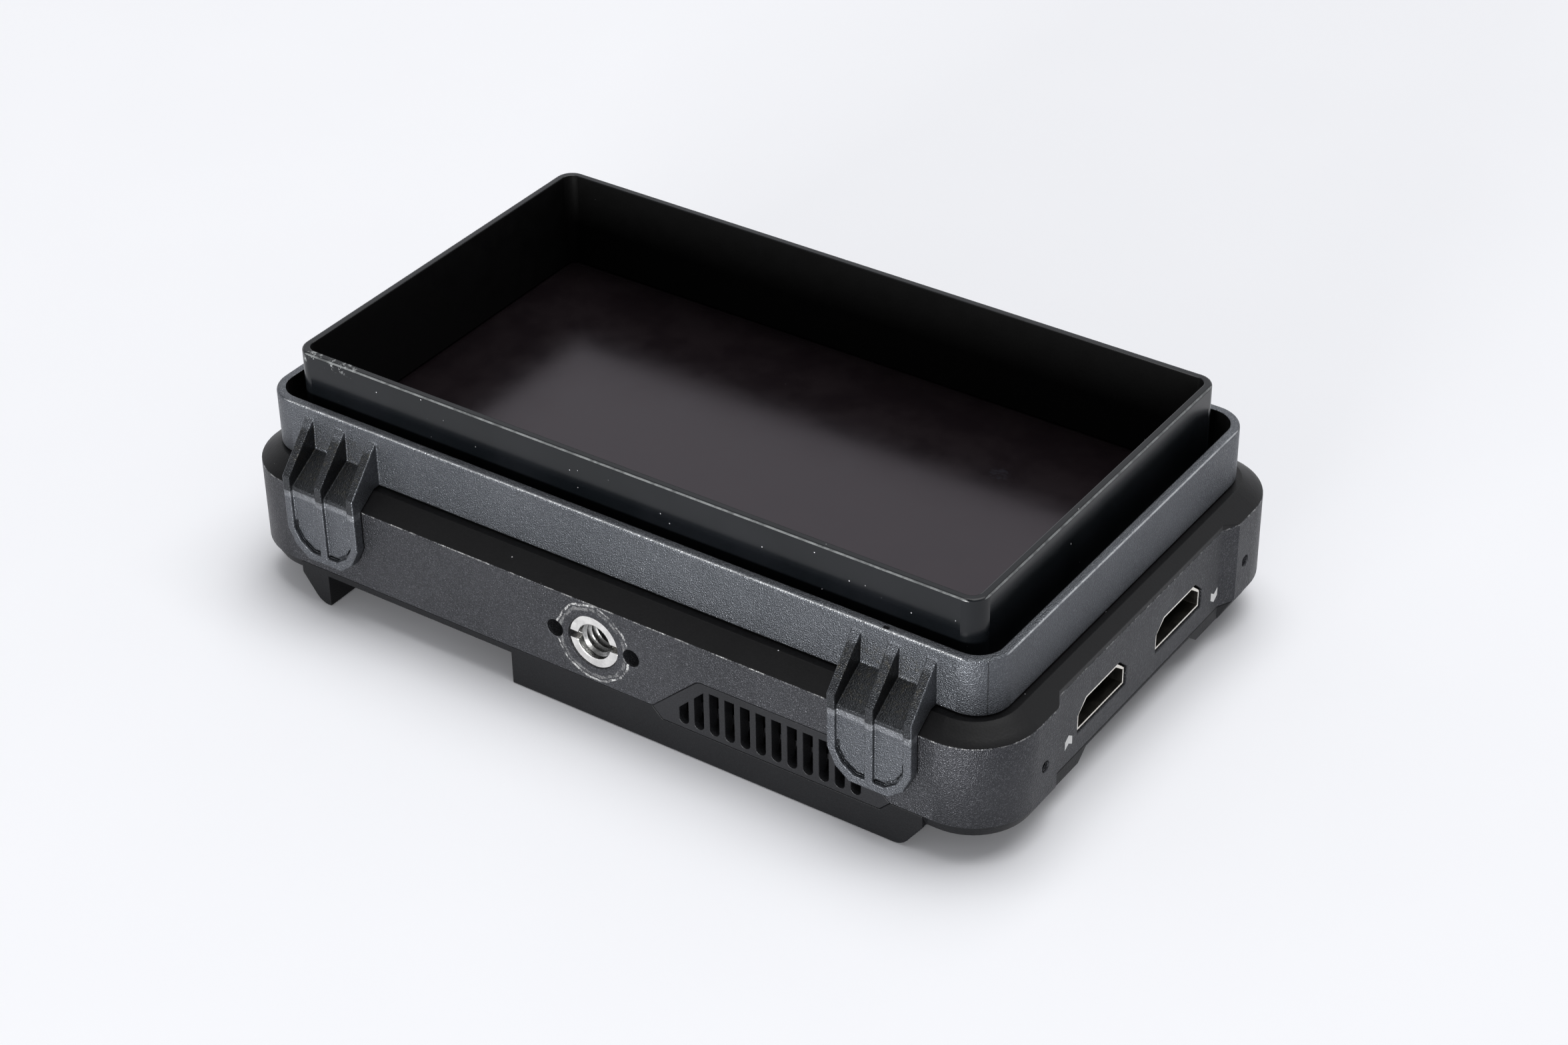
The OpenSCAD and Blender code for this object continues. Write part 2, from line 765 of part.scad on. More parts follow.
module rear_cover() {
    color([0.09, 0.09, 0.095]) difference() {
        union() {
            rear_lip();
            raised_back();
            translate([0, 0, seam_z - fit]) difference() {
                rounded_slab(inner_l - 2 * cover_in, inner_w - 2 * cover_in, inner_r - cover_in,
                    rim_h + fit);
                translate([0, 0, -over]) rounded_slab(inner_l - 2 * cover_in - 2 * rim_t,
                    inner_w - 2 * cover_in - 2 * rim_t, inner_r - cover_in - rim_t, rim_h + 3 * over);
            }
            block([drive_x0 - bay_roof_t, drive_y0 - bay_roof_t, seam_z - fit],
                [drive_x1 + bay_roof_t, half_w - wall - cover_in - fit, roof_z]);
        }
        // The battery bay, open towards -Y
        block([battery_x0, -half_w - over, -over], [battery_x1, battery_y1, battery_floor]);
        // The drive bay, open towards +Y, with a rail along each side
        block([drive_x0, drive_y0, rail_t], [drive_x1, half_w + over, drive_bay_d]);
        block([drive_x0 + rail_over, drive_y0, -over], [drive_x1 - rail_over, half_w + over, drive_bay_d]);
        end_recesses();
        // The shallow notch under the video sockets
        along_x(raised_half + raised_slope + over, half_l + over)
            polygon([[-notch_half, lip_z + notch_up], [notch_half, lip_z + notch_up],
                [notch_half + notch_slope, lip_z], [notch_half + notch_slope, lip_z - over],
                [-notch_half - notch_slope, lip_z - over], [-notch_half - notch_slope, lip_z]]);
        vent_cut(0);
        vent_cut(1);
        for (side = [0, 1]) mirror([0, side, 0])
            block([vent_x - vent_top_l / 2 - vent_side / 2, -half_w + vent_t, seam_z - slot_low],
                [vent_x + vent_top_l / 2 + vent_side / 2, -half_w + vent_t + air_path, roof_z + over]);
        latch_hole(battery_mid, battery_latch_y, battery_latch_l, battery_latch_w);
        latch_hole(drive_latch_x, drive_latch_y, drive_latch_l, drive_latch_w);
        for (x = [-1, 1], y = [-1, 1]) translate([x * screw_x, y * screw_y, lip_z - over]) {
            cylinder(h = lip_h + rim_h + 2 * over, r = screw_r);
            cylinder(h = screw_head_h + over, r = screw_head_r + fit);
        }
        for (x = [-1, 1], y = [-1, 1]) translate([x * screw_x, y * screw_y, seam_z])
            cylinder(h = rim_h + over, r = screw_boss_r + 2 * fit);
    }
}

module case_screws() {
    color([0.2, 0.2, 0.21]) for (x = [-1, 1], y = [-1, 1]) translate([x * screw_x, y * screw_y, lip_z])
        difference() {
            union() {
                translate([0, 0, fit]) cylinder(h = screw_head_h - fit, r = screw_head_r);
                translate([0, 0, screw_head_h - fit])
                    cylinder(h = lip_h + rim_h + over, r = screw_r - fit / 2);
            }
            translate([0, 0, -over]) cylinder(h = over + hex_d, r = hex_r, $fn = 6);
        }
}

// One vent: a plate that fills the notch in the side wall, with a row of slots cut to its outline.
module vent_grille(side) {
    reach = vent_top_l / 2 + vent_side;
    color([0.09, 0.09, 0.095]) mirror([0, side, 0]) difference() {
        along_y(-half_w, -half_w + vent_t) vent_outline();
        along_y(-half_w - over, -half_w + vent_t + over) intersection() {
            polygon([[vent_x - reach + vent_rim * 2.4, seam_z - slot_low - over],
                [vent_x + reach - vent_rim * 2.4, seam_z - slot_low - over],
                [vent_x + reach - vent_rim * 2.4, seam_z],
                [vent_x + vent_top_l / 2 - vent_rim, seam_z + vent_h - vent_rim],
                [vent_x - vent_top_l / 2 + vent_rim, seam_z + vent_h - vent_rim],
                [vent_x - reach + vent_rim * 2.4, seam_z]]);
            for (i = [0:slots - 1]) let (x = vent_x + (i - (slots - 1) / 2) * slot_pitch)
                translate([x, seam_z - slot_low + slot_w / 2]) {
                    circle(slot_w / 2);
                    translate([-slot_w / 2, 0]) square([slot_w, vent_h + over]);
                }
        }
    }
}

module top_vent_grille() {
    vent_grille(0);
}

module bottom_vent_grille() {
    vent_grille(1);
}

// Battery bay

module battery_plate() {
    plate_half = battery_bay_w / 2 - bay_fit;
    y0 = battery_latch_y + battery_latch_w / 2 + bay_fit * 3;
    y1 = battery_y1 - battery_head;
    module hook(side, y) {
        inner = plate_half - hook_over;
        translate([0, y, 0]) rotate([-90, 0, 0]) linear_extrude(hook_l)
            scale([side, 1]) polygon([[plate_half, 0], [plate_half, -hook_h], [inner, -hook_h],
                [inner, -hook_h + hook_t], [plate_half - hook_t, -hook_h + hook_t],
                [plate_half - hook_t, 0]]);
    }
    color([0.11, 0.11, 0.12]) translate([battery_mid, 0, battery_floor]) mirror([0, 0, 1]) {
        block([-plate_half, y0, 0], [plate_half, y1, battery_plate_t]);
        for (side = [-1, 1], y = [y0 + hook_l, y1 - 2 * hook_l]) hook(side, y);
    }
}

module battery_terminal() {
    color([0.06, 0.06, 0.065])
        block([battery_mid - terminal_l / 2, battery_y1 - terminal_w, battery_floor - terminal_h],
            [battery_mid + terminal_l / 2, battery_y1, battery_floor]);
}

module battery_contacts() {
    color([0.85, 0.68, 0.3]) for (i = [-1, 0, 1]) translate([battery_mid + i * contact_pitch, 0, 0])
        block([-contact_t / 2, battery_y1 - terminal_w - contact_l, battery_floor - terminal_h + over],
            [contact_t / 2, battery_y1 - terminal_w, battery_floor - over]);
}

// A pad that reaches out through the bay floor, on a flange that rests on the inner face.
module latch(x, y, l, w, floor_z, inner_z, out) {
    translate([x, y, 0]) {
        block([-l / 2, -w / 2, floor_z - out], [l / 2, w / 2, inner_z + latch_lift]);
        block([-l / 2 - latch_flange, -w / 2 - latch_flange / 2, inner_z + latch_lift],
            [l / 2 + latch_flange, w / 2 + latch_flange / 2, inner_z + latch_lift + latch_flange_t]);
    }
}

module battery_latch() {
    color([0.35, 0.36, 0.38])
        latch(battery_mid, battery_latch_y, battery_latch_l, battery_latch_w, battery_floor, seam_z,
            battery_latch_out);
}

module drive_latch() {
    color([0.35, 0.36, 0.38])
        latch(drive_latch_x, drive_latch_y, drive_latch_l, drive_latch_w, drive_bay_d, roof_z,
            drive_latch_out);
}

// A wire coil from z0 to z1, one unbroken tube with flat rings at both ends.
module coil(r, wire, turns, z0, z1) {
    sides = 6;
    rings = turns * 12;
    function centre(i) = let (t = i / rings) [r * cos(360 * turns * t), r * sin(360 * turns * t),
        z0 + wire + (z1 - z0 - 2 * wire) * t];
    function ring_point(i, j) = let (a = 360 * turns * i / rings, b = 360 * j / sides)
        centre(i) + wire * [cos(b) * cos(a), cos(b) * sin(a), sin(b)];
    points = [for (i = [0:rings], j = [0:sides - 1]) ring_point(i, j)];
    skin = [for (i = [0:rings - 1], j = [0:sides - 1]) let (k = (j + 1) % sides)
        each [[i * sides + j, (i + 1) * sides + j, (i + 1) * sides + k],
            [i * sides + j, (i + 1) * sides + k, i * sides + k]]];
    polyhedron(points, [each skin, [for (j = [0:sides - 1]) j],
        [for (j = [sides - 1:-1:0]) rings * sides + j]]);
}

module battery_latch_spring() {
    color([0.75, 0.75, 0.78]) translate([battery_mid, battery_latch_y, 0])
        coil(spring_r, spring_wire, spring_turns, seam_z + latch_lift + latch_flange_t, shelf_z);
}

module drive_latch_spring() {
    color([0.75, 0.75, 0.78]) translate([drive_latch_x, drive_latch_y, 0])
        coil(spring_r, spring_wire, spring_turns, roof_z + latch_lift + latch_flange_t, shelf_z);
}

// Drive bay

module drive_connector() {
    color([0.06, 0.06, 0.065]) {
        block([drive_mid - connector_l / 2, drive_y0, drive_bay_d - connector_h],
            [drive_mid + connector_l / 2, drive_y0 + connector_w, drive_bay_d]);
        block([drive_mid - blade_l / 2, drive_y0 + connector_w - fit, drive_bay_d - blade_up - blade_thick],
            [drive_mid + blade_l / 2, drive_y0 + connector_w + blade_w, drive_bay_d - blade_up]);
    }
}

module drive_contacts() {
    low = drive_bay_d - blade_up - blade_thick;
    color([0.85, 0.68, 0.3]) for (i = [0:drive_pins - 1])
        translate([drive_mid + (i - (drive_pins - 1) / 2) * drive_pin_pitch, 0, 0])
            block([-drive_pin_w / 2, drive_y0 + connector_w, low - drive_pin_t],
                [drive_pin_w / 2, drive_y0 + connector_w + blade_w - 4 * fit, low]);
}

// Sockets and controls

module video_shell(y) {
    back = recess_x - shell_sink - video_d;
    color([0.72, 0.7, 0.66]) translate([0, y, socket_z + fit]) difference() {
        along_x(back, recess_x - shell_sink) video_outline();
        along_x(back + shell_t, recess_x) video_outline(-shell_t);
    }
}

// The dark insert of a socket: a back wall and a tongue that reaches towards the mouth.
module video_tongue(y) {
    back = recess_x - shell_sink - video_d + shell_t;
    color([0.05, 0.05, 0.055]) translate([0, y, socket_z + fit]) {
        along_x(back, back + tongue_back) video_outline(-shell_t - fit / 2);
        block([back + tongue_back - fit, -tongue_l / 2, tongue_up],
            [back + video_d - tongue_short, tongue_l / 2, tongue_up + tongue_t]);
    }
}

module hdmi_in_shell() {
    video_shell(-video_y);
}

module hdmi_out_shell() {
    video_shell(video_y);
}

module hdmi_in_tongue() {
    video_tongue(-video_y);
}

module hdmi_out_tongue() {
    video_tongue(video_y);
}

module jack(y, r) {
    color([0.08, 0.08, 0.085]) difference() {
        union() {
            block([-inner_l / 2 + 2 * fit, y - jack_body_w / 2, board_top],
                [-inner_l / 2 + jack_body_l, y + jack_body_w / 2, board_top + jack_body_h]);
            translate([-recess_x + 2 * fit, y, port_z]) rotate([0, 90, 0])
                cylinder(h = end_wall, r = jack_nose_r);
        }
        translate([-recess_x, y, port_z]) rotate([0, 90, 0]) cylinder(h = jack_d, r = r);
    }
}

module headphone_jack() {
    jack(jack_ys[0], jack_r);
}

module audio_in_jack() {
    jack(jack_ys[1], jack_r);
}

module remote_jack() {
    jack(remote_y, remote_r);
}

module power_button() {
    flange_x = -inner_l / 2 + fit;
    color([0.16, 0.16, 0.17]) {
        along_x(-recess_x - power_out, flange_x + fit)
            translate([power_y, port_z]) pill_outline(power_l, power_w);
        along_x(flange_x, flange_x + power_flange_t)
            translate([power_y, port_z])
                pill_outline(power_l + 2 * power_flange, power_w + 2 * power_flange);
    }
}

module power_switch() {
    switch_x = -inner_l / 2 + 2 * fit + power_flange_t + power_travel;
    color([0.75, 0.75, 0.72]) block([switch_x, power_y - switch_w / 2, board_top],
        [switch_x + switch_l, power_y + switch_w / 2, board_top + switch_h]);
}

module thread_reducer() {
    color([0.86, 0.86, 0.84]) translate([0, -half_w + reducer_sink, thread_z]) rotate([-90, 0, 0])
        difference() {
            cylinder(h = thread_d - reducer_sink, r = reducer_r);
            translate([0, 0, -over]) cylinder(h = thread_d + 2 * over, r = small_thread_r);
            translate([0, 0, driver_slot_d / 2 - over / 2])
                cube([2 * reducer_r + over, driver_slot_w, driver_slot_d + over], center = true);
        }
}

// Sun hood

// The outline of a clip seen from the front: a strip with a six-sided lower end.
module clip_outline(inset = 0) {
    half = clip_w / 2 - inset;
    corner = clip_w / 2 - clip_corner * 0.75 - inset * 0.8;
    foot = clip_w / 2 - clip_foot - inset * 0.6;
    corner_z = clip_bottom + clip_corner + inset * 0.7;
    polygon([[-half, clip_bottom + clip_shoulder], [-corner, corner_z], [-foot, clip_bottom + inset],
        [foot, clip_bottom + inset], [corner, corner_z], [half, clip_bottom + clip_shoulder],
        [half, rib_top], [-half, rib_top]]);
}

// The side outline of a clip's sheet, bent to run along the bevel and up to the frame.
module clip_sheet_outline(inner_y, face_y, frame_y) {
    slope = bevel_h / bevel_w;
    bend_in = side_top + clip_gap * slope;
    heel_y = inner_y + (hood_z - bend_in) / slope;
    polygon([[face_y, clip_bottom], [inner_y, clip_bottom], [inner_y, bend_in], [heel_y, hood_z],
        [frame_y + clip_root, hood_z], [frame_y + clip_root, hood_z + web_up], [frame_y, hood_z + web_up],
        [face_y, bend_in + clip_t * slope]]);
}

// The front outline of a rib, wider where it meets the frame.
module rib_outline() {
    knee_z = hood_z + knee_up;
    polygon([[-rib_w / 2, clip_bottom], [rib_w / 2, clip_bottom], [rib_w / 2, knee_z],
        [rib_top_w / 2, rib_top], [-rib_top_w / 2, rib_top], [-rib_w / 2, knee_z]]);
}

// The side outline of a rib: straight down the clip, then leaning in to the top of the frame.
module rib_side_outline(face_y, rib_y, frame_y) {
    polygon([[rib_y, clip_bottom], [face_y + fit, clip_bottom], [face_y + fit, side_top],
        [frame_y + clip_root, hood_z + web_up / 2], [frame_y + clip_root, rib_top], [frame_y, rib_top],
        [rib_y, hood_z + knee_up]]);
}

// One clip: the bent sheet with a groove round its lower end, a raised rim, and three ribs.
module clip() {
    inner_y = -half_w - clip_gap;
    face_y = inner_y - clip_t;
    rib_y = face_y - rib_up;
    frame_y = -hood_w / 2;
    difference() {
        intersection() {
            along_x(-clip_w / 2, clip_w / 2) clip_sheet_outline(inner_y, face_y, frame_y);
            along_y(face_y - over, 0) clip_outline();
        }
        along_y(face_y - over, face_y + groove_d) intersection() {
            difference() {
                clip_outline(rib_w - fit);
                clip_outline(rib_w + groove_w);
            }
            translate([-clip_w / 2, clip_bottom]) square([clip_w, clip_shoulder + rib_w]);
        }
    }
    along_y(rib_y, face_y + fit) difference() {
        intersection() {
            clip_outline();
            translate([-clip_w / 2, clip_bottom]) square([clip_w, side_top - clip_bottom]);
        }
        clip_outline(rib_w);
    }
    for (x = [-1, 0, 1]) intersection() {
        along_x(-clip_w / 2, clip_w / 2) rib_side_outline(face_y, rib_y, frame_y);
        along_y(rib_y - over, 0) intersection() {
            translate([x * (clip_w - rib_w) / 2, 0]) rib_outline();
            clip_outline();
        }
    }
}

module hood_frame() {
    color([0.17, 0.175, 0.19]) translate([hood_shift, 0, 0]) {
        difference() {
            translate([0, 0, hood_z]) edged_slab(hood_l, hood_w, hood_r, hood_h, frame_edge);
            translate([0, 0, hood_z + flange_t])
                rounded_slab(hood_l - 2 * hood_t, hood_w - 2 * hood_t, hood_r - hood_t, hood_h);
            translate([0, 0, hood_z - over])
                rounded_slab(shade_l + 2 * fit, shade_w + 2 * fit, shade_r + fit, hood_h);
        }
        for (x = [-1, 1], side = [0, 1]) mirror([0, side, 0]) translate([x * clip_x, 0, 0]) clip();
    }
}

module hood_shade() {
    color([0.05, 0.05, 0.055]) translate([hood_shift, 0, 0]) difference() {
        union() {
            translate([0, 0, hood_z]) edged_slab(shade_l, shade_w, shade_r, shade_h, shade_edge);
            translate([0, 0, hood_z + flange_t])
                rounded_slab(shade_l + 2 * foot_w, shade_w + 2 * foot_w, shade_r + foot_w, foot_t);
        }
        translate([0, 0, hood_z - over])
            rounded_slab(shade_l - 2 * shade_t, shade_w - 2 * shade_t, shade_r - shade_t,
                shade_h + 2 * over);
    }
}

chassis();
front_bezel();
cover_glass();
lcd_panel();
panel_plate();
panel_flex();
main_board();
board_chips();
board_standoffs();
board_screws();
heat_sink();
fan_housing();
fan_stator();
fan_bush();
fan_rotor();
fan_shaft();
rear_cover();
case_screws();
top_vent_grille();
bottom_vent_grille();
battery_plate();
battery_terminal();
battery_contacts();
battery_latch();
battery_latch_spring();
drive_connector();
drive_contacts();
drive_latch();
drive_latch_spring();
hdmi_in_shell();
hdmi_in_tongue();
hdmi_out_shell();
hdmi_out_tongue();
power_button();
power_switch();
headphone_jack();
audio_in_jack();
remote_jack();
thread_reducer();
hood_frame();
hood_shade();
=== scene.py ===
import json
import math

import bmesh
import bpy
from mathutils import Matrix, Vector


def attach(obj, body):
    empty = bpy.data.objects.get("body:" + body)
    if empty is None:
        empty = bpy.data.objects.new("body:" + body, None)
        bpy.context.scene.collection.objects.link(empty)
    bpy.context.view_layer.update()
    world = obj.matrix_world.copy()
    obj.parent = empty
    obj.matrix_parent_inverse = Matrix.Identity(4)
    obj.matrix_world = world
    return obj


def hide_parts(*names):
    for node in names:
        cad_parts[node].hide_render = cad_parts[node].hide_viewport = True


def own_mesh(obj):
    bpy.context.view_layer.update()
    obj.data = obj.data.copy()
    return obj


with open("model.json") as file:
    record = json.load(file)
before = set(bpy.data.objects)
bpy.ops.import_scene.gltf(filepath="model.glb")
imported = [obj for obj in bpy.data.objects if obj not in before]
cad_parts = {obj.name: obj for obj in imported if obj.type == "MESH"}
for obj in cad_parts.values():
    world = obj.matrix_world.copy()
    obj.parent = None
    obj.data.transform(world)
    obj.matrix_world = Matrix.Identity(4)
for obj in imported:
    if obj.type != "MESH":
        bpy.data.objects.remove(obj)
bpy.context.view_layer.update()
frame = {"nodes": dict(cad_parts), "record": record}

scene = bpy.context.scene
MM = 0.001

# Places on the part, in millimetres
HOOD_X = -0.6       # the middle of the hood
SIDE_Y = 46.5       # the long sides of the body
THREAD_Z = 15       # the middle of the two mounting threads
SOCKET_Y = 12.5     # the two video sockets, to each side of the middle
SOCKET_Z = 14
CLAMP_Y = 32.6      # the two cable clamp holes, to each side of the middle
CLAMP_Z = 13.6


# Camera, solved from the straight edges of the photograph
def make_camera():
    azimuth, elevation, roll = math.radians(34.562), math.radians(34.349), math.radians(-0.799)
    distance, focal_px, width_px = 561.866 * MM, 4891.061, 2352
    sensor = 36
    target = Vector((0.065, 7.741, 7.3)) * MM
    back = Vector((
        math.sin(azimuth) * math.cos(elevation),
        -math.cos(azimuth) * math.cos(elevation),
        math.sin(elevation),
    ))
    right = (-back).cross(Vector((0, 0, 1))).normalized()
    up = right.cross(-back).normalized()
    side = right * math.cos(roll) + up * math.sin(roll)
    top = up * math.cos(roll) - right * math.sin(roll)
    data = bpy.data.cameras.new("camera")
    data.sensor_width = sensor
    data.lens = focal_px / width_px * sensor
    data.clip_start, data.clip_end = 0.05, 20
    camera = bpy.data.objects.new("camera", data)
    place = target + back * distance
    camera.matrix_world = Matrix((
        (side.x, top.x, back.x, place.x),
        (side.y, top.y, back.y, place.y),
        (side.z, top.z, back.z, place.z),
        (0, 0, 0, 1),
    ))
    scene.collection.objects.link(camera)
    scene.camera = camera


make_camera()


# Node trees
class Tree:
    """The node tree of a material or a world, with short calls for the nodes used here."""

    def __init__(self, owner):
        owner.use_nodes = True
        self.owner = owner
        self.nodes = owner.node_tree.nodes
        self.links = owner.node_tree.links
        self.nodes.clear()

    def put(self, socket, value):
        if isinstance(value, bpy.types.NodeSocket):
            self.links.new(value, socket)
        else:
            socket.default_value = value

    def split(self, place):
        """The x, y and z of a place or direction."""
        node = self.nodes.new("ShaderNodeSeparateXYZ")
        self.put(node.inputs[0], place)
        return node.outputs

    def vector(self, operation, a, b=(0, 0, 0)):
        node = self.nodes.new("ShaderNodeVectorMath")
        node.operation = operation
        self.put(node.inputs[0], a)
        self.put(node.inputs[1], b)
        return node.outputs["Value" if operation in ("LENGTH", "DISTANCE") else "Vector"]

    def math(self, operation, a, b=0.0):
        node = self.nodes.new("ShaderNodeMath")
        node.operation = operation
        self.put(node.inputs[0], a)
        self.put(node.inputs[1], b)
        return node.outputs[0]

    def step(self, value, low, high, to_low=0.0, to_high=1.0):
        node = self.nodes.new("ShaderNodeMapRange")
        node.interpolation_type = "SMOOTHSTEP"
        self.put(node.inputs["Value"], value)
        for socket, number in zip(node.inputs[1:5], (low, high, to_low, to_high)):
            socket.default_value = number
        return node.outputs["Result"]

    def between(self, value, low, high, soft):
        """1 from low to high, and 0 outside, with soft edges."""
        below = self.step(value, high, high + soft, 1.0, 0.0)
        return self.math("MULTIPLY", self.step(value, low - soft, low), below)

    def both(self, *masks):
        product = masks[0]
        for mask in masks[1:]:
            product = self.math("MULTIPLY", product, mask)
        return product

    def light(self, kind, color, strength=1.0):
        """An emission or a background, and its output."""
        node = self.nodes.new(kind)
        node.inputs["Color"].default_value = (*color, 1)
        node.inputs["Strength"].default_value = strength
        return node.outputs[0]

    def blend(self, share, a, b):
        """Two shaders, a where share is 0 and b where it is 1."""
        node = self.nodes.new("ShaderNodeMixShader")
        for socket, value in zip(node.inputs, (share, a, b)):
            self.put(socket, value)
        return node.outputs[0]


class Surface(Tree):
    """A material. Its places, lengths and sizes are in millimetres."""

    def __init__(self, name):
        super().__init__(bpy.data.materials.new(name))
        place = self.nodes.new("ShaderNodeTexCoord").outputs["Object"]
        self.mm = self.vector("MULTIPLY", place, (1000, 1000, 1000))
        self.x, self.y, self.z = self.split(self.mm)

    def noise(self, scale, detail=2.0, roughness=0.5, place=None):
        node = self.nodes.new("ShaderNodeTexNoise")
        self.put(node.inputs["Vector"], self.mm if place is None else place)
        node.inputs["Scale"].default_value = scale
        node.inputs["Detail"].default_value = detail
        node.inputs["Roughness"].default_value = roughness
        return node.outputs["Fac"]

    def cells(self, size, place=None):
        """Cells of that size: the distance to a cell's middle, and its own random colour."""
        node = self.nodes.new("ShaderNodeTexVoronoi")
        self.put(node.inputs["Vector"], self.mm if place is None else place)
        node.inputs["Scale"].default_value = 1 / size
        return node.outputs["Distance"], node.outputs["Color"]

    def channel(self, color, index):
        """One of a colour's three numbers."""
        node = self.nodes.new("ShaderNodeSeparateColor")
        self.put(node.inputs[0], color)
        return node.outputs[index]

    def mix(self, share, a, b):
        """Two colours, a where share is 0 and b where it is 1. The first may come from a node."""
        node = self.nodes.new("ShaderNodeMix")
        node.data_type = "RGBA"
        self.put(node.inputs[0], share)
        self.put(node.inputs[6], a if isinstance(a, bpy.types.NodeSocket) else (*a, 1))
        self.put(node.inputs[7], (*b, 1))
        return node.outputs[2]

    def specks(self, every, size, stretch=(1, 1, 1), share=0.7):
        """Sparse dots: at most one in each cell of that many millimetres, up to that size."""
        distance, own = self.cells(every, self.vector("MULTIPLY", self.mm, stretch))
        far = self.math("MULTIPLY", distance, every)
        reach = self.step(self.channel(own, 0), 1 - share, 1.0, 0.0, size)
        return self.step(self.math("SUBTRACT", reach, far), 0.0, size * 0.3)

    def flakes(self, size, share):
        """Whole small cells picked at random, as the flakes of a metallic paint."""
        _, own = self.cells(size)
        return self.step(self.channel(own, 1), 1 - share, 1 - share * 0.5)

    def dust(self, color, tint, every, size):
        """Pale dust specks and a few short hairs over a colour."""
        dots = self.specks(every, size)
        hairs = self.specks(every * 2.3, size * 0.8, (0.22, 1.0, 0.5), 0.4)
        return self.mix(self.math("MAXIMUM", dots, hairs), color, tint)

    def bump(self, height, depth):
        node = self.nodes.new("ShaderNodeBump")
        node.inputs["Distance"].default_value = depth * MM
        self.put(node.inputs["Height"], height)
        return node.outputs["Normal"]

    def finish(self, shader):
        self.links.new(shader, self.nodes.new("ShaderNodeOutputMaterial").inputs["Surface"])
        return self.owner

    def principled(self, color, roughness, normal, **constants):
        """The finished material. The constants are the same all over, and named as the shader's inputs."""
        node = self.nodes.new("ShaderNodeBsdfPrincipled")
        self.put(node.inputs["Base Color"], color)
        self.put(node.inputs["Roughness"], roughness)
        self.put(node.inputs["Normal"], normal)
        for name, value in constants.items():
            node.inputs[name.replace("_", " ")].default_value = value
        return self.finish(node.outputs[0])


# Materials
PALE_DUST = (0.5, 0.5, 0.52)


def grained(name, dark, light, rough, grain, depth, metallic=0.0, specular=0.5, flake=None, every=3.2,
            speck=0.1, marks=None):
    """Moulded, painted or anodised: fine grain, cloudy tone, uneven gloss, dust, and flakes if asked.
    grain is the size and depth the height of its bump, and every and speck are those of the dust."""
    tree = Surface(name)
    fine = tree.noise(1 / grain, 2.0, 0.65)
    broad = tree.noise(0.06, 3.0, 0.55)
    pits, _ = tree.cells(grain * 1.1)
    cloud = tree.math("ADD", tree.math("MULTIPLY", fine, 0.6), tree.math("MULTIPLY", broad, 0.4))
    color = tree.mix(tree.step(cloud, 0.36, 0.64), dark, light)
    wear = tree.step(tree.noise(0.2, 2.0, 0.5), 0.3, 0.7, rough - 0.015, rough + 0.02)
    if flake is not None:
        picked = tree.flakes(grain * 0.7, 0.2)
        color = tree.mix(picked, color, flake)
        wear = tree.math("SUBTRACT", wear, tree.math("MULTIPLY", picked, 0.07))
    if marks is not None:
        color = marks(tree, color)
    color = tree.dust(color, PALE_DUST, every, speck)
    height = tree.math("ADD", tree.math("MULTIPLY", fine, 0.5), pits)
    return tree.principled(color, wear, tree.bump(height, depth), Metallic=metallic,
                           Specular_IOR_Level=specular)


def brushed(name, dark, light, rough, lines=(0.1, 0.1, 3.0)):
    """Bare or plated metal with fine drawn lines, along the axes whose numbers in lines are small."""
    tree = Surface(name)
    drawn = tree.noise(2.5, 3.0, 0.6, tree.vector("MULTIPLY", tree.mm, lines))
    color = tree.mix(tree.step(drawn, 0.3, 0.7), dark, light)
    wear = tree.step(tree.noise(0.8, 3.0, 0.6), 0.3, 0.7, rough - 0.05, rough + 0.08)
    return tree.principled(color, wear, tree.bump(drawn, 0.006), Metallic=1.0)


def body_marks(tree, color):
    """The broken bright ring that a washer has rubbed round the near thread, and the chipped upper edge."""
    bare_metal = (0.54, 0.54, 0.53)
    off = tree.vector("SUBTRACT", tree.mm, (0, -SIDE_Y, THREAD_Z))
    radius = tree.vector("LENGTH", tree.vector("MULTIPLY", off, (1, 0, 1)))
    side = tree.between(tree.split(off)[1], -0.4, 0.12, 0.05)
    wobble = tree.math("ADD", radius, tree.step(tree.noise(0.5, 3.0, 0.6), 0.2, 0.8, -0.22, 0.22))
    line = tree.between(wobble, 6.98, 7.26, 0.1)
    faint = tree.math("MULTIPLY", tree.between(wobble, 6.2, 6.6, 0.15), 0.3)
    broken = tree.step(tree.noise(0.8, 5.0, 0.8), 0.42, 0.6)
    rub = tree.both(tree.math("MAXIMUM", line, faint), side, broken)
    chipped = tree.step(tree.noise(0.7, 4.0, 0.75), 0.46, 0.62)
    edge = tree.both(tree.between(tree.z, 22.42, 22.8, 0.05), chipped)
    return tree.mix(tree.math("MAXIMUM", rub, tree.math("MULTIPLY", edge, 0.45)), color, bare_metal)


def hood_reach(tree):
    """How far to either side of the hood's middle, along the long side."""
    return tree.math("ABSOLUTE", tree.math("SUBTRACT", tree.x, HOOD_X))


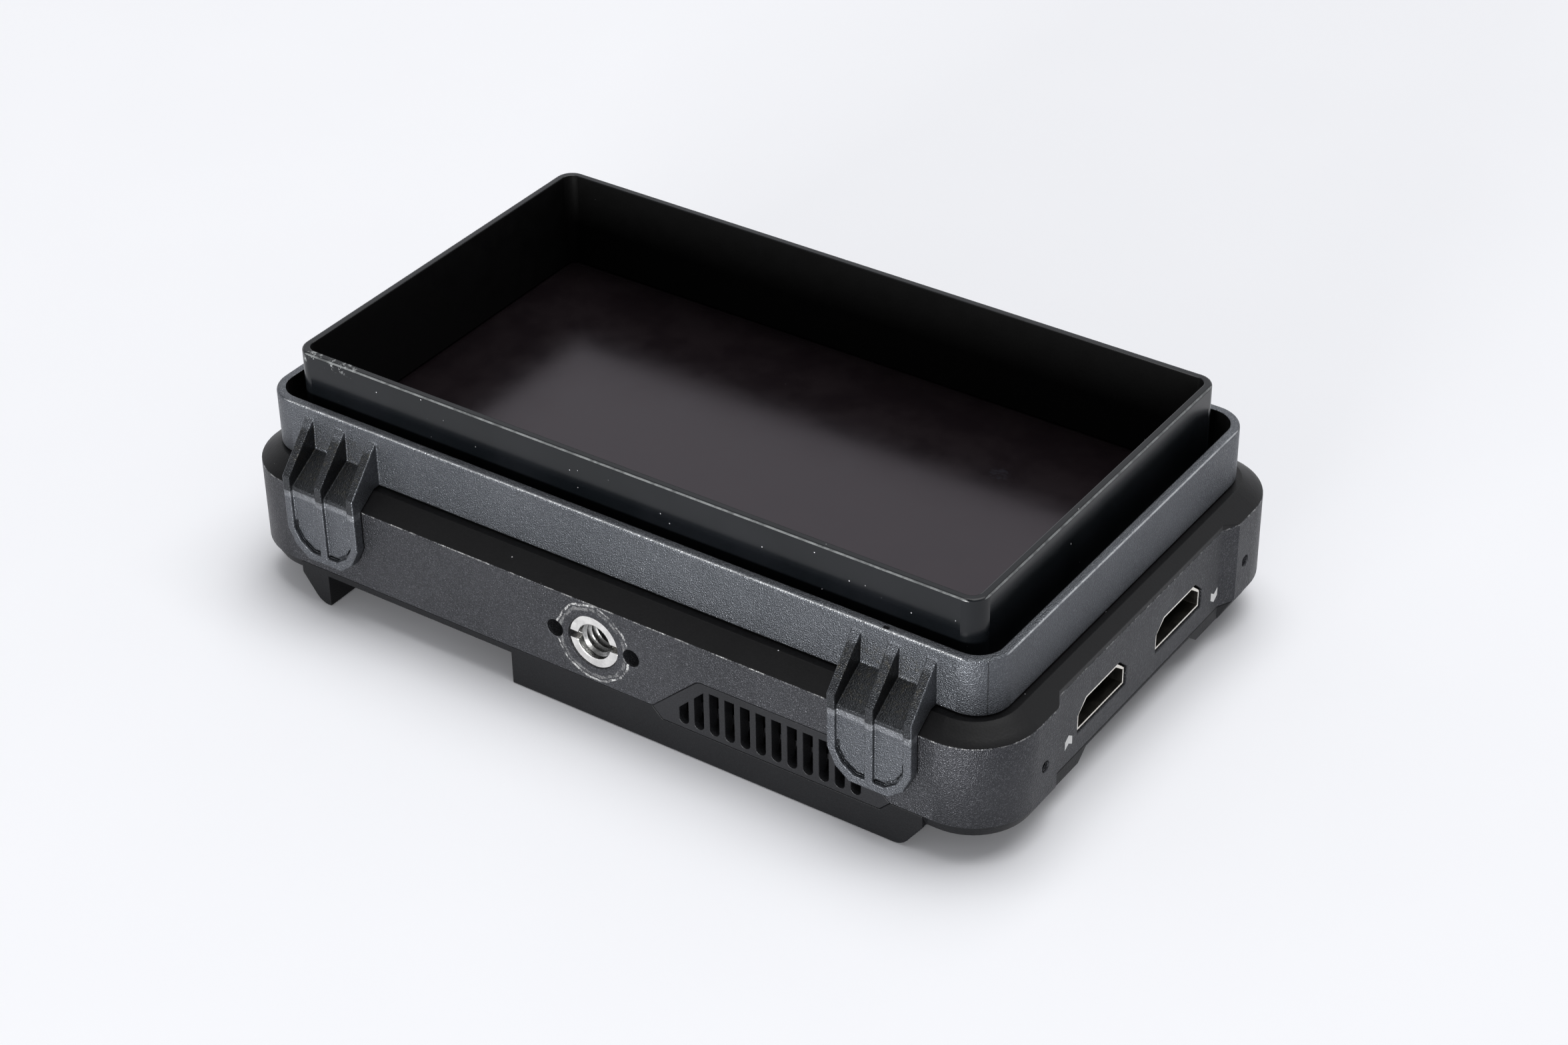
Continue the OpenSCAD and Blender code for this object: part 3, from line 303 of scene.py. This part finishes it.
def hood_marks(tree, color):
    """Painted shade over the clips' ribs and sloped webs, dirt between the ribs, a painted highlight on
    their knees, the mould's parting line and a nick in the near rim drawn in painted shade, and the worn
    outer edge of the rim, painted lighter as a highlight too."""
    # The colours below: painted shade for the clips, the parting line and the nick; dirt between the ribs; a
    # painted highlight for the knees; wear and a painted highlight for the rim.
    painted_clip_shade, silt, in_shadow = (0.012, 0.0125, 0.013), (0.085, 0.078, 0.06), (0.008, 0.008, 0.009)
    knee_highlight_color, rubbed = (0.26, 0.27, 0.285), (0.42, 0.43, 0.44)
    reach = hood_reach(tree)
    reach_y = tree.math("ABSOLUTE", tree.y)
    clip = tree.both(tree.between(reach, 46.9, 61.7, 0.05), tree.between(tree.z, 22.9, 31.6, 0.9))
    # Painted shade: the clips' ribs and sloped webs above the knee are painted near-black.
    dark = tree.both(clip, tree.between(reach_y, 41.7, 48.8, 0.1), 0.72)
    color = tree.mix(dark, color, painted_clip_shade)
    patchy = tree.step(tree.noise(1.5, 4.0, 0.7), 0.48, 0.72)
    web = tree.both(clip, tree.between(reach_y, 41.4, 46.6, 0.2), patchy)
    color = tree.mix(tree.math("MULTIPLY", web, 0.5), color, silt)
    # Painted highlight: a light band along the clips' knees, where their edges catch the light.
    uneven = tree.step(tree.noise(0.8, 3.0, 0.6), 0.2, 0.7, 0.25, 0.7)
    knee_highlight = tree.both(tree.between(reach, 46.6, 62.1, 0.05), tree.between(tree.z, 21.9, 22.8, 0.25),
                     tree.step(reach_y, 46.2, 46.5), uneven)
    color = tree.mix(knee_highlight, color, knee_highlight_color)
    # Painted shade: the mould's parting line and the nick in the rim are drawn as dark lines.
    line = tree.both(tree.between(tree.x, 69.02, 69.1, 0.06), tree.step(tree.y, -38.0, -37.0, 1.0, 0.0))
    nick = tree.both(tree.between(tree.x, 51.5, 52.4, 0.15), tree.between(tree.z, 35.25, 35.6, 0.05),
                     tree.step(tree.y, -40.8, -40.4, 1.0, 0.0))
    painted_groove_shade = tree.math("MAXIMUM", tree.math("MULTIPLY", line, 0.55), nick)
    color = tree.mix(painted_groove_shade, color, in_shadow)
    # The rim's outer edge is painted lighter: partly wear, partly a painted highlight along the edge.
    outer = tree.math("MAXIMUM", tree.step(reach_y, 41.2, 41.3), tree.step(reach, 71.0, 71.1))
    worn = tree.step(tree.noise(0.4, 3.0, 0.7), 0.3, 0.6, 0.45, 1.0)
    rim = tree.both(tree.between(tree.z, 35.24, 35.6, 0.04), outer, worn)
    return tree.mix(rim, color, rubbed)


def glass():
    """Matt-coated cover glass over a dark display, with a faint round touch mark."""
    tree = Surface("screen_glass")
    smear = tree.noise(0.12, 3.0, 0.6)
    color = tree.mix(tree.step(smear, 0.35, 0.65), (0.0065, 0.0045, 0.0055), (0.009, 0.0065, 0.0075))
    touched = (36.6, 18.2, 24.8)
    away = tree.vector("DISTANCE", tree.mm, touched)
    patchy = tree.step(tree.noise(1.4, 3.0, 0.7), 0.4, 0.65)
    touch = tree.math("MULTIPLY", tree.step(away, 1.5, 2.1, 1.0, 0.0), patchy)
    color = tree.mix(tree.math("MULTIPLY", touch, 0.5), color, (0.022, 0.023, 0.03))
    color = tree.dust(color, (0.28, 0.27, 0.28), 6.5, 0.13)
    rough = tree.step(smear, 0.3, 0.7, 0.19, 0.23)
    return tree.principled(color, rough, tree.bump(tree.noise(9.0, 2.0, 0.5), 0.0012), IOR=1.5,
                           Specular_IOR_Level=0.46, Specular_Tint=(1.0, 0.84, 0.96, 1))


def shade_outside():
    """Smooth glossy black plastic, with scuffs on its near side and a worn rim, whose outer edge is painted
    lighter as a highlight too.
    """
    tree = Surface("hood_black")
    broad = tree.noise(0.06, 3.0, 0.6)
    color = tree.mix(tree.step(broad, 0.35, 0.65), (0.0035, 0.0045, 0.0055), (0.006, 0.007, 0.0085))
    chips = tree.both(
        tree.between(tree.x, -66.5, -54.6, 0.8), tree.between(tree.z, 41.6, 43.2, 0.3),
        tree.step(tree.y, -36.4, -36.2, 1.0, 0.0), tree.step(tree.noise(0.62, 4.0, 0.75), 0.55, 0.62),
    )
    # The rim's outer edge is painted lighter: partly wear, partly a painted highlight. The chips at the left
    # corner are wear.
    outer = tree.math("MAXIMUM", tree.step(tree.math("ABSOLUTE", tree.y), 37.3, 37.4),
                      tree.step(hood_reach(tree), 66.3, 66.4))
    rim = tree.both(tree.between(tree.z, 42.84, 43.2, 0.04), outer,
                    tree.step(tree.noise(0.35, 4.0, 0.7), 0.35, 0.6, 0.3, 0.7))
    # One light colour for the chips and for the rim's painted highlight.
    scuff_and_highlight = (0.26, 0.27, 0.27)
    color = tree.mix(tree.math("MAXIMUM", chips, rim), color, scuff_and_highlight)
    color = tree.dust(color, (0.6, 0.6, 0.62), 1.6, 0.12)
    wear = tree.step(tree.noise(0.15, 3.0, 0.6), 0.3, 0.7, 0.16, 0.19)
    return tree.principled(color, wear, tree.bump(tree.noise(0.12, 2.0, 0.5), 0.003), IOR=1.5,
                           Specular_IOR_Level=0.3)


def matt_black(name, tone, rough, specular, dust):
    """The light-killing black inside the shade, with dust; also the near-black given to the frame's inner
    walls and channel floor.
    """
    tree = Surface(name)
    fine = tree.noise(4.0, 2.0, 0.6)
    color = tree.mix(tree.step(fine, 0.35, 0.65), (tone * 0.7,) * 3, (tone * 1.3,) * 3)
    color = tree.dust(color, dust, 4.5, 0.16)
    wear = tree.step(tree.noise(0.3, 3.0, 0.6), 0.3, 0.7, rough - 0.06, rough + 0.06)
    return tree.principled(color, wear, tree.bump(fine, 0.01), Specular_IOR_Level=specular)


MATERIALS = {
    "body_metal": grained("body_metal", (0.035, 0.036, 0.040), (0.050, 0.051, 0.056), 0.45, 0.2, 0.08,
                          metallic=0.9, flake=(0.085, 0.087, 0.094), marks=body_marks),
    "bezel_black": grained("bezel_black", (0.002, 0.002, 0.0023), (0.0032, 0.0032, 0.0036), 0.46, 0.4, 0.012,
                           specular=0.22, every=4.2, speck=0.12),
    "screen_glass": glass(),
    "panel": grained("panel", (0.03, 0.03, 0.034), (0.04, 0.04, 0.045), 0.35, 0.4, 0.005),
    "sheet_steel": brushed("sheet_steel", (0.5, 0.5, 0.52), (0.66, 0.66, 0.68), 0.34),
    "flex_film": grained("flex_film", (0.4, 0.17, 0.05), (0.52, 0.24, 0.08), 0.35, 0.5, 0.01),
    "board": grained("board", (0.012, 0.09, 0.04), (0.02, 0.13, 0.06), 0.4, 0.8, 0.02),
    "black_plastic": grained("black_plastic", (0.010, 0.010, 0.011), (0.017, 0.017, 0.019), 0.42, 0.3, 0.02,
                             specular=0.35),
    "brass": brushed("brass", (0.62, 0.42, 0.16), (0.74, 0.54, 0.24), 0.3),
    "sink_metal": brushed("sink_metal", (0.5, 0.5, 0.52), (0.62, 0.62, 0.64), 0.4),
    "cover_black": grained("cover_black", (0.0038, 0.0040, 0.0048), (0.0060, 0.0063, 0.0074), 0.46, 0.3,
                           0.03, specular=0.19),
    "black_steel": brushed("black_steel", (0.03, 0.03, 0.033), (0.05, 0.05, 0.055), 0.38),
    "gold": brushed("gold", (0.75, 0.5, 0.16), (0.85, 0.62, 0.24), 0.25),
    "grey_plastic": grained("grey_plastic", (0.09, 0.09, 0.098), (0.13, 0.13, 0.14), 0.45, 0.3, 0.02),
    "nickel": brushed("nickel", (0.72, 0.69, 0.62), (0.88, 0.86, 0.80), 0.22, (3.0, 0.2, 0.2)),
    "bright_steel": brushed("bright_steel", (0.70, 0.69, 0.67), (0.88, 0.87, 0.84), 0.17, (0.4, 3.0, 0.4)),
    "hood_grey": grained("hood_grey", (0.080, 0.085, 0.094), (0.108, 0.114, 0.125), 0.44, 0.2, 0.08,
                         metallic=0.95, flake=(0.15, 0.158, 0.17), every=3.6, speck=0.14,
                         marks=hood_marks),
    "hood_black": shade_outside(),
}
SHADE_INSIDE = matt_black("shade_inside", 0.0016, 0.6, 0.1, (0.12, 0.12, 0.13))
# The frame's inner walls and channel floor are made near-black, far darker than the frame's outside.
CHANNEL_BLACK = matt_black("channel_black", 0.003, 0.34, 0.3, (0.5, 0.5, 0.52))
# Painted shade: the reducer's bore and its thread are this darker steel, though the reducer is one bright
# steel.
BORE_SHADE_STEEL = brushed("bore_steel", (0.24, 0.24, 0.235), (0.42, 0.42, 0.41), 0.24, (0.4, 3.0, 0.4))
# Painted shade: the inside of each video socket's shell is this darker nickel, though the shell is one
# metal.
SOCKET_SHADE = brushed("socket_dark", (0.10, 0.095, 0.085), (0.16, 0.152, 0.138), 0.34, (3.0, 0.2, 0.2))
GRILLE = grained("grille", (0.013, 0.0135, 0.015), (0.020, 0.0205, 0.023), 0.46, 0.3, 0.03, metallic=0.4,
                 specular=0.3)
# Painted shade: the sockets' contacts are a darker gold, as they sit inside the shell.
SHADED_CONTACT_GOLD = brushed("contact_gold", (0.30, 0.19, 0.06), (0.42, 0.28, 0.1), 0.3)
PRINT_WHITE = grained("print_white", (0.66, 0.66, 0.65), (0.76, 0.76, 0.75), 0.5, 0.4, 0.01)


def dress(node, material, second=None, chosen=None):
    """Gives a node its material, and a second one to the faces that are chosen by middle and normal."""
    mesh = frame["nodes"][node].data
    mesh.materials.clear()
    mesh.materials.append(material)
    if second is not None:
        mesh.materials.append(second)
    for face in mesh.polygons:
        face.material_index = 1 if second is not None and chosen(face.center * 1000, face.normal) else 0


def within_hood(middle, reach_x, reach_y):
    return abs(middle.x - HOOD_X) < reach_x and abs(middle.y) < reach_y


def faces_hood_middle(middle, normal):
    return (middle.x - HOOD_X) * normal.x + middle.y * normal.y < -1


def inside_shade(middle, normal):
    """The inner sides of the shade's walls, and its flange."""
    flange_top = 26.5
    return within_hood(middle, 65.9, 36.9) and (faces_hood_middle(middle, normal) or middle.z < flange_top)


def inside_channel(middle, normal):
    """The inner sides of the frame's walls and its floor, but not its rim."""
    rim = 35.2
    return (within_hood(middle, 70.7, 40.9) and middle.z < rim
            and (faces_hood_middle(middle, normal) or normal.z > 0.5))


def inside_socket(middle, normal):
    """All of a socket's shell but its mouth and its outer sides."""
    mouth = 73.5
    side = math.copysign(SOCKET_Y, middle.y)
    return middle.x < mouth and (middle.y - side) * normal.y + (middle.z - SOCKET_Z) * normal.z < 0.5


def inside_bore(middle, normal):
    """The wall of the bushing's bore, but not its ends."""
    return math.hypot(middle.x, middle.z - THREAD_Z) < 3.4 and abs(normal.y) < 0.5


for part in frame["record"]["subparts"]:
    dress(part["node"], MATERIALS[part["material_slot"]])
dress("hood_shade", MATERIALS["hood_black"], SHADE_INSIDE, inside_shade)
dress("hood_frame", MATERIALS["hood_grey"], CHANNEL_BLACK, inside_channel)
for grille in ("top_vent_grille", "bottom_vent_grille"):
    dress(grille, GRILLE)
# Painted shade in the reducer's bore.
dress("thread_reducer", MATERIALS["bright_steel"], BORE_SHADE_STEEL, inside_bore)
# Painted shade inside each socket's shell.
for socket in ("hdmi_in_shell", "hdmi_out_shell"):
    dress(socket, MATERIALS["nickel"], SOCKET_SHADE, inside_socket)


# Edges: every solid that shows gets a small round on its sharp edges, which catches the light.
# The numbers are the rounds' widths in millimetres
EDGES = {
    "chassis": 0.14, "front_bezel": 0.14, "cover_glass": 0.12, "rear_cover": 0.16, "hood_frame": 0.2,
    "hood_shade": 0.17, "top_vent_grille": 0.12, "bottom_vent_grille": 0.12, "thread_reducer": 0.16,
    "hdmi_in_shell": 0.05, "hdmi_out_shell": 0.05, "hdmi_in_tongue": 0.05, "hdmi_out_tongue": 0.05,
    "battery_plate": 0.15, "battery_terminal": 0.12, "battery_contacts": 0.06, "battery_latch": 0.2,
    "drive_connector": 0.12, "drive_latch": 0.2, "power_button": 0.2, "headphone_jack": 0.1,
    "audio_in_jack": 0.1, "remote_jack": 0.1, "case_screws": 0.06,
}


def soften(node, width):
    """Merges what is flat, so that the round meets only real edges."""
    weld = node.modifiers.new("weld", "WELD")
    weld.merge_threshold = 1e-6
    flat = node.modifiers.new("flat", "DECIMATE")
    flat.decimate_type = "DISSOLVE"
    flat.angle_limit = math.radians(0.4)
    flat.delimit = {"NORMAL", "MATERIAL"}
    even = node.modifiers.new("even", "TRIANGULATE")
    even.min_vertices = 5
    edge = node.modifiers.new("edge", "BEVEL")
    edge.width = width * MM
    edge.segments = 2
    edge.limit_method = "ANGLE"
    edge.angle_limit = math.radians(32)
    edge.use_clamp_overlap = False
    edge.loop_slide = False


for name, width in EDGES.items():
    soften(frame["nodes"][name], width)


# Small pieces
def add_piece(name, points, faces, material):
    """A piece of the monitor, from points in millimetres."""
    mesh = bpy.data.meshes.new(name)
    mesh.from_pydata([Vector(point) * MM for point in points], [], faces)
    shell = bmesh.new()
    shell.from_mesh(mesh)
    bmesh.ops.recalc_face_normals(shell, faces=shell.faces)
    shell.to_mesh(mesh)
    shell.free()
    mesh.materials.append(material)
    piece = bpy.data.objects.new(name, mesh)
    scene.collection.objects.link(piece)
    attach(piece, "monitor")
    return piece


def thread_ridge(name, start, axis, root, crest, pitch, length, material, slot):
    """A helical ridge inside a bore, from start along axis for about that length. root is the bore's
    radius, and crest the ridge's smallest one."""
    turn = 40                       # steps in a turn
    run_out = 12                    # steps over which the ridge rises and falls at its ends
    sunk = 0.04                     # its foot stands in the wall
    foot_half, crest_half = 0.42, 0.07      # of the pitch
    start, axis = Vector(start), Vector(axis)
    across = axis.orthogonal().normalized()
    other = axis.cross(across)
    count = int(length / pitch * turn)
    points, faces = [], []
    for i in range(count + 1):
        angle = 2 * math.pi * i / turn
        out = across * math.cos(angle) + other * math.sin(angle)
        middle = start + axis * (pitch * i / turn)
        tall = (root - crest) * min(1, 0.15 + i / run_out, 0.15 + (count - i) / run_out)
        foot, top = root + sunk, root - tall
        for radius, shift in ((foot, -foot_half), (top, -crest_half), (top, crest_half), (foot, foot_half)):
            points.append(middle + out * radius + axis * (pitch * shift))
        if i:
            a = 4 * (i - 1)
            faces += [(a + j, a + (j + 1) % 4, a + 4 + (j + 1) % 4, a + 4 + j) for j in range(4)]
    faces += [(0, 1, 2, 3), (4 * count, 4 * count + 1, 4 * count + 2, 4 * count + 3)]
    add_piece(name, points, faces, material)


def blocks(name, boxes, material):
    """Thin bars, each from its lowest corner to its highest, with rounded edges."""
    points, faces = [], []
    for low, high in boxes:
        a = len(points)
        (x0, y0, z0), (x1, y1, z1) = low, high
        points += [(x, y, z) for x in (x0, x1) for y in (y0, y1) for z in (z0, z1)]
        for quad in ((0, 1, 3, 2), (4, 5, 7, 6), (0, 1, 5, 4), (2, 3, 7, 6), (0, 2, 6, 4), (1, 3, 7, 5)):
            faces.append(tuple(a + i for i in quad))
    piece = add_piece(name, points, faces, material)
    piece.modifiers.new("edge", "BEVEL").width = 0.02 * MM


def chevron(name, y, tip, direction):
    """A plain arrow printed on the end face, with its point towards +Z or -Z."""
    outline = [(0, 0), (1.1, 0.8), (1.1, 2.35), (0, 1.6), (-1.1, 2.35), (-1.1, 0.8)]
    back, front = 73.99, 74.02
    points = [(x, y + a, tip - direction * b) for x in (back, front) for a, b in outline]
    faces = [(0, 1, 2, 3), (0, 3, 4, 5), (6, 7, 8, 9), (6, 9, 10, 11)]
    faces += [(i, (i + 1) % 6, 6 + (i + 1) % 6, 6 + i) for i in range(6)]
    add_piece(name, points, faces, PRINT_WHITE)


def contact_row(middle, count, low, high):
    """A socket's contacts along one side of its tongue, 1 mm apart."""
    back, front, half = 66.0, 70.7, 0.14
    places = [middle + i - (count - 1) / 2 for i in range(count)]
    return [((back, y - half, low), (front, y + half, high)) for y in places]


def socket_contacts(name, middle):
    rows = contact_row(middle, 10, 14.68, 14.75) + contact_row(middle, 9, 13.55, 13.62)
    # The contacts get the darker gold of painted shade.
    blocks(name, rows, SHADED_CONTACT_GOLD)


BODY = (MATERIALS["body_metal"], "body_metal")
# The thread in the reducer's bore gets the bore's painted shade.
thread_ridge("reducer_thread", (0, -45.2, THREAD_Z), (0, 1, 0), 3.175, 2.62, 1.27, 7.6,
             BORE_SHADE_STEEL, "bright_steel")
thread_ridge("lower_thread", (0, 45.6, THREAD_Z), (0, -1, 0), 4.76, 4.1, 1.5875, 7.5, *BODY)
for name, y in (("clamp_thread_near", -CLAMP_Y), ("clamp_thread_far", CLAMP_Y)):
    thread_ridge(name, (75.2, y, CLAMP_Z), (-1, 0, 0), 1.0, 0.84, 0.45, 4.2, *BODY)
chevron("arrow_in", -22.9, 12.66, 1)
chevron("arrow_out", 24.9, 9.25, -1)
socket_contacts("hdmi_in_contacts", -SOCKET_Y)
socket_contacts("hdmi_out_contacts", SOCKET_Y)


def spring(name, node):
    """The spring over a latch, as a copy of its mesh that rides on the monitor in place of the node."""
    piece = bpy.data.objects.new(name, frame["nodes"][node].data.copy())
    scene.collection.objects.link(piece)
    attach(piece, "monitor")
    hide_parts(node)
    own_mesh(piece)


spring("battery_spring_coil", "battery_latch_spring")
spring("drive_spring_coil", "drive_latch_spring")


# Floor, backdrop and light
PALE = (0.915, 0.925, 0.965)


def make_floor():
    """Pale and matt where the object stands. Further off, the camera and mirrors see it even."""
    fade_from, fade_to = 380, 760       # millimetres from the middle
    half_size = 6.0                     # metres
    below = 0.0001                      # metres, so that the floor and the back share no plane
    tree = Surface("floor")
    cloud = tree.step(tree.noise(0.02, 2.0, 0.5), 0.35, 0.65)
    color = tree.mix(cloud, (0.915, 0.922, 0.952), (0.92, 0.927, 0.957))
    diffuse = tree.nodes.new("ShaderNodeBsdfDiffuse")
    tree.put(diffuse.inputs["Color"], color)
    far = tree.light("ShaderNodeEmission", PALE)
    paths = tree.nodes.new("ShaderNodeLightPath").outputs
    seen = tree.math("MAXIMUM", paths["Is Camera Ray"], paths["Is Glossy Ray"])
    away = tree.step(tree.vector("LENGTH", tree.mm), fade_from, fade_to)
    material = tree.finish(tree.blend(tree.both(away, seen), diffuse.outputs[0], far))
    grid = bmesh.new()
    bmesh.ops.create_grid(grid, x_segments=1, y_segments=1, size=half_size)
    mesh = bpy.data.meshes.new("floor")
    grid.to_mesh(mesh)
    grid.free()
    mesh.materials.append(material)
    floor = bpy.data.objects.new("floor", mesh)
    scene.collection.objects.link(floor)
    floor.location.z = -below


def area_light(name, place, width, height, power):
    """A soft lamp that points at the object, in metres and watts."""
    data = bpy.data.lights.new(name, "AREA")
    data.shape = "RECTANGLE"
    data.size, data.size_y = width, height
    data.energy = power
    lamp = bpy.data.objects.new(name, data)
    lamp.location = place
    lamp.rotation_euler = (Vector((0, 0, 0.02)) - Vector(place)).to_track_quat("-Z", "Y").to_euler()
    scene.collection.objects.link(lamp)


def make_world():
    """Pale to the camera. Mirrors see it pale behind the object, and dim in front and overhead."""
    tree = Tree(bpy.data.worlds.new("studio"))
    paths = tree.nodes.new("ShaderNodeLightPath").outputs
    direction = tree.nodes.new("ShaderNodeTexCoord").outputs["Generated"]
    _, y, z = tree.split(direction)         # y is -1 in front of the object, and z is 1 overhead
    front = tree.both(tree.step(y, 0.15, -0.35), tree.step(z, 0.08, 0.3))
    overhead = tree.step(z, 0.6, 0.85)
    pale = tree.light("ShaderNodeBackground", PALE)
    dim = tree.light("ShaderNodeBackground", (0.97, 0.98, 1.0), 0.24)
    matt = tree.light("ShaderNodeBackground", (0.97, 0.975, 1.0), 0.29)
    mirrored = tree.blend(tree.math("MAXIMUM", front, overhead), pale, dim)
    mirror_rays = tree.math("MAXIMUM", paths["Is Glossy Ray"], paths["Is Transmission Ray"])
    seen = tree.blend(paths["Is Camera Ray"], tree.blend(mirror_rays, matt, mirrored), pale)
    tree.links.new(seen, tree.nodes.new("ShaderNodeOutputWorld").inputs["Surface"])
    scene.world = tree.owner


make_floor()
make_world()
area_light("front", (0.12, -1.48, 0.13), 0.60, 0.22, 24.0)
area_light("top", (0.18, 0.55, 2.70), 2.6, 2.2, 62.0)
scene.view_settings.view_transform = "Standard"
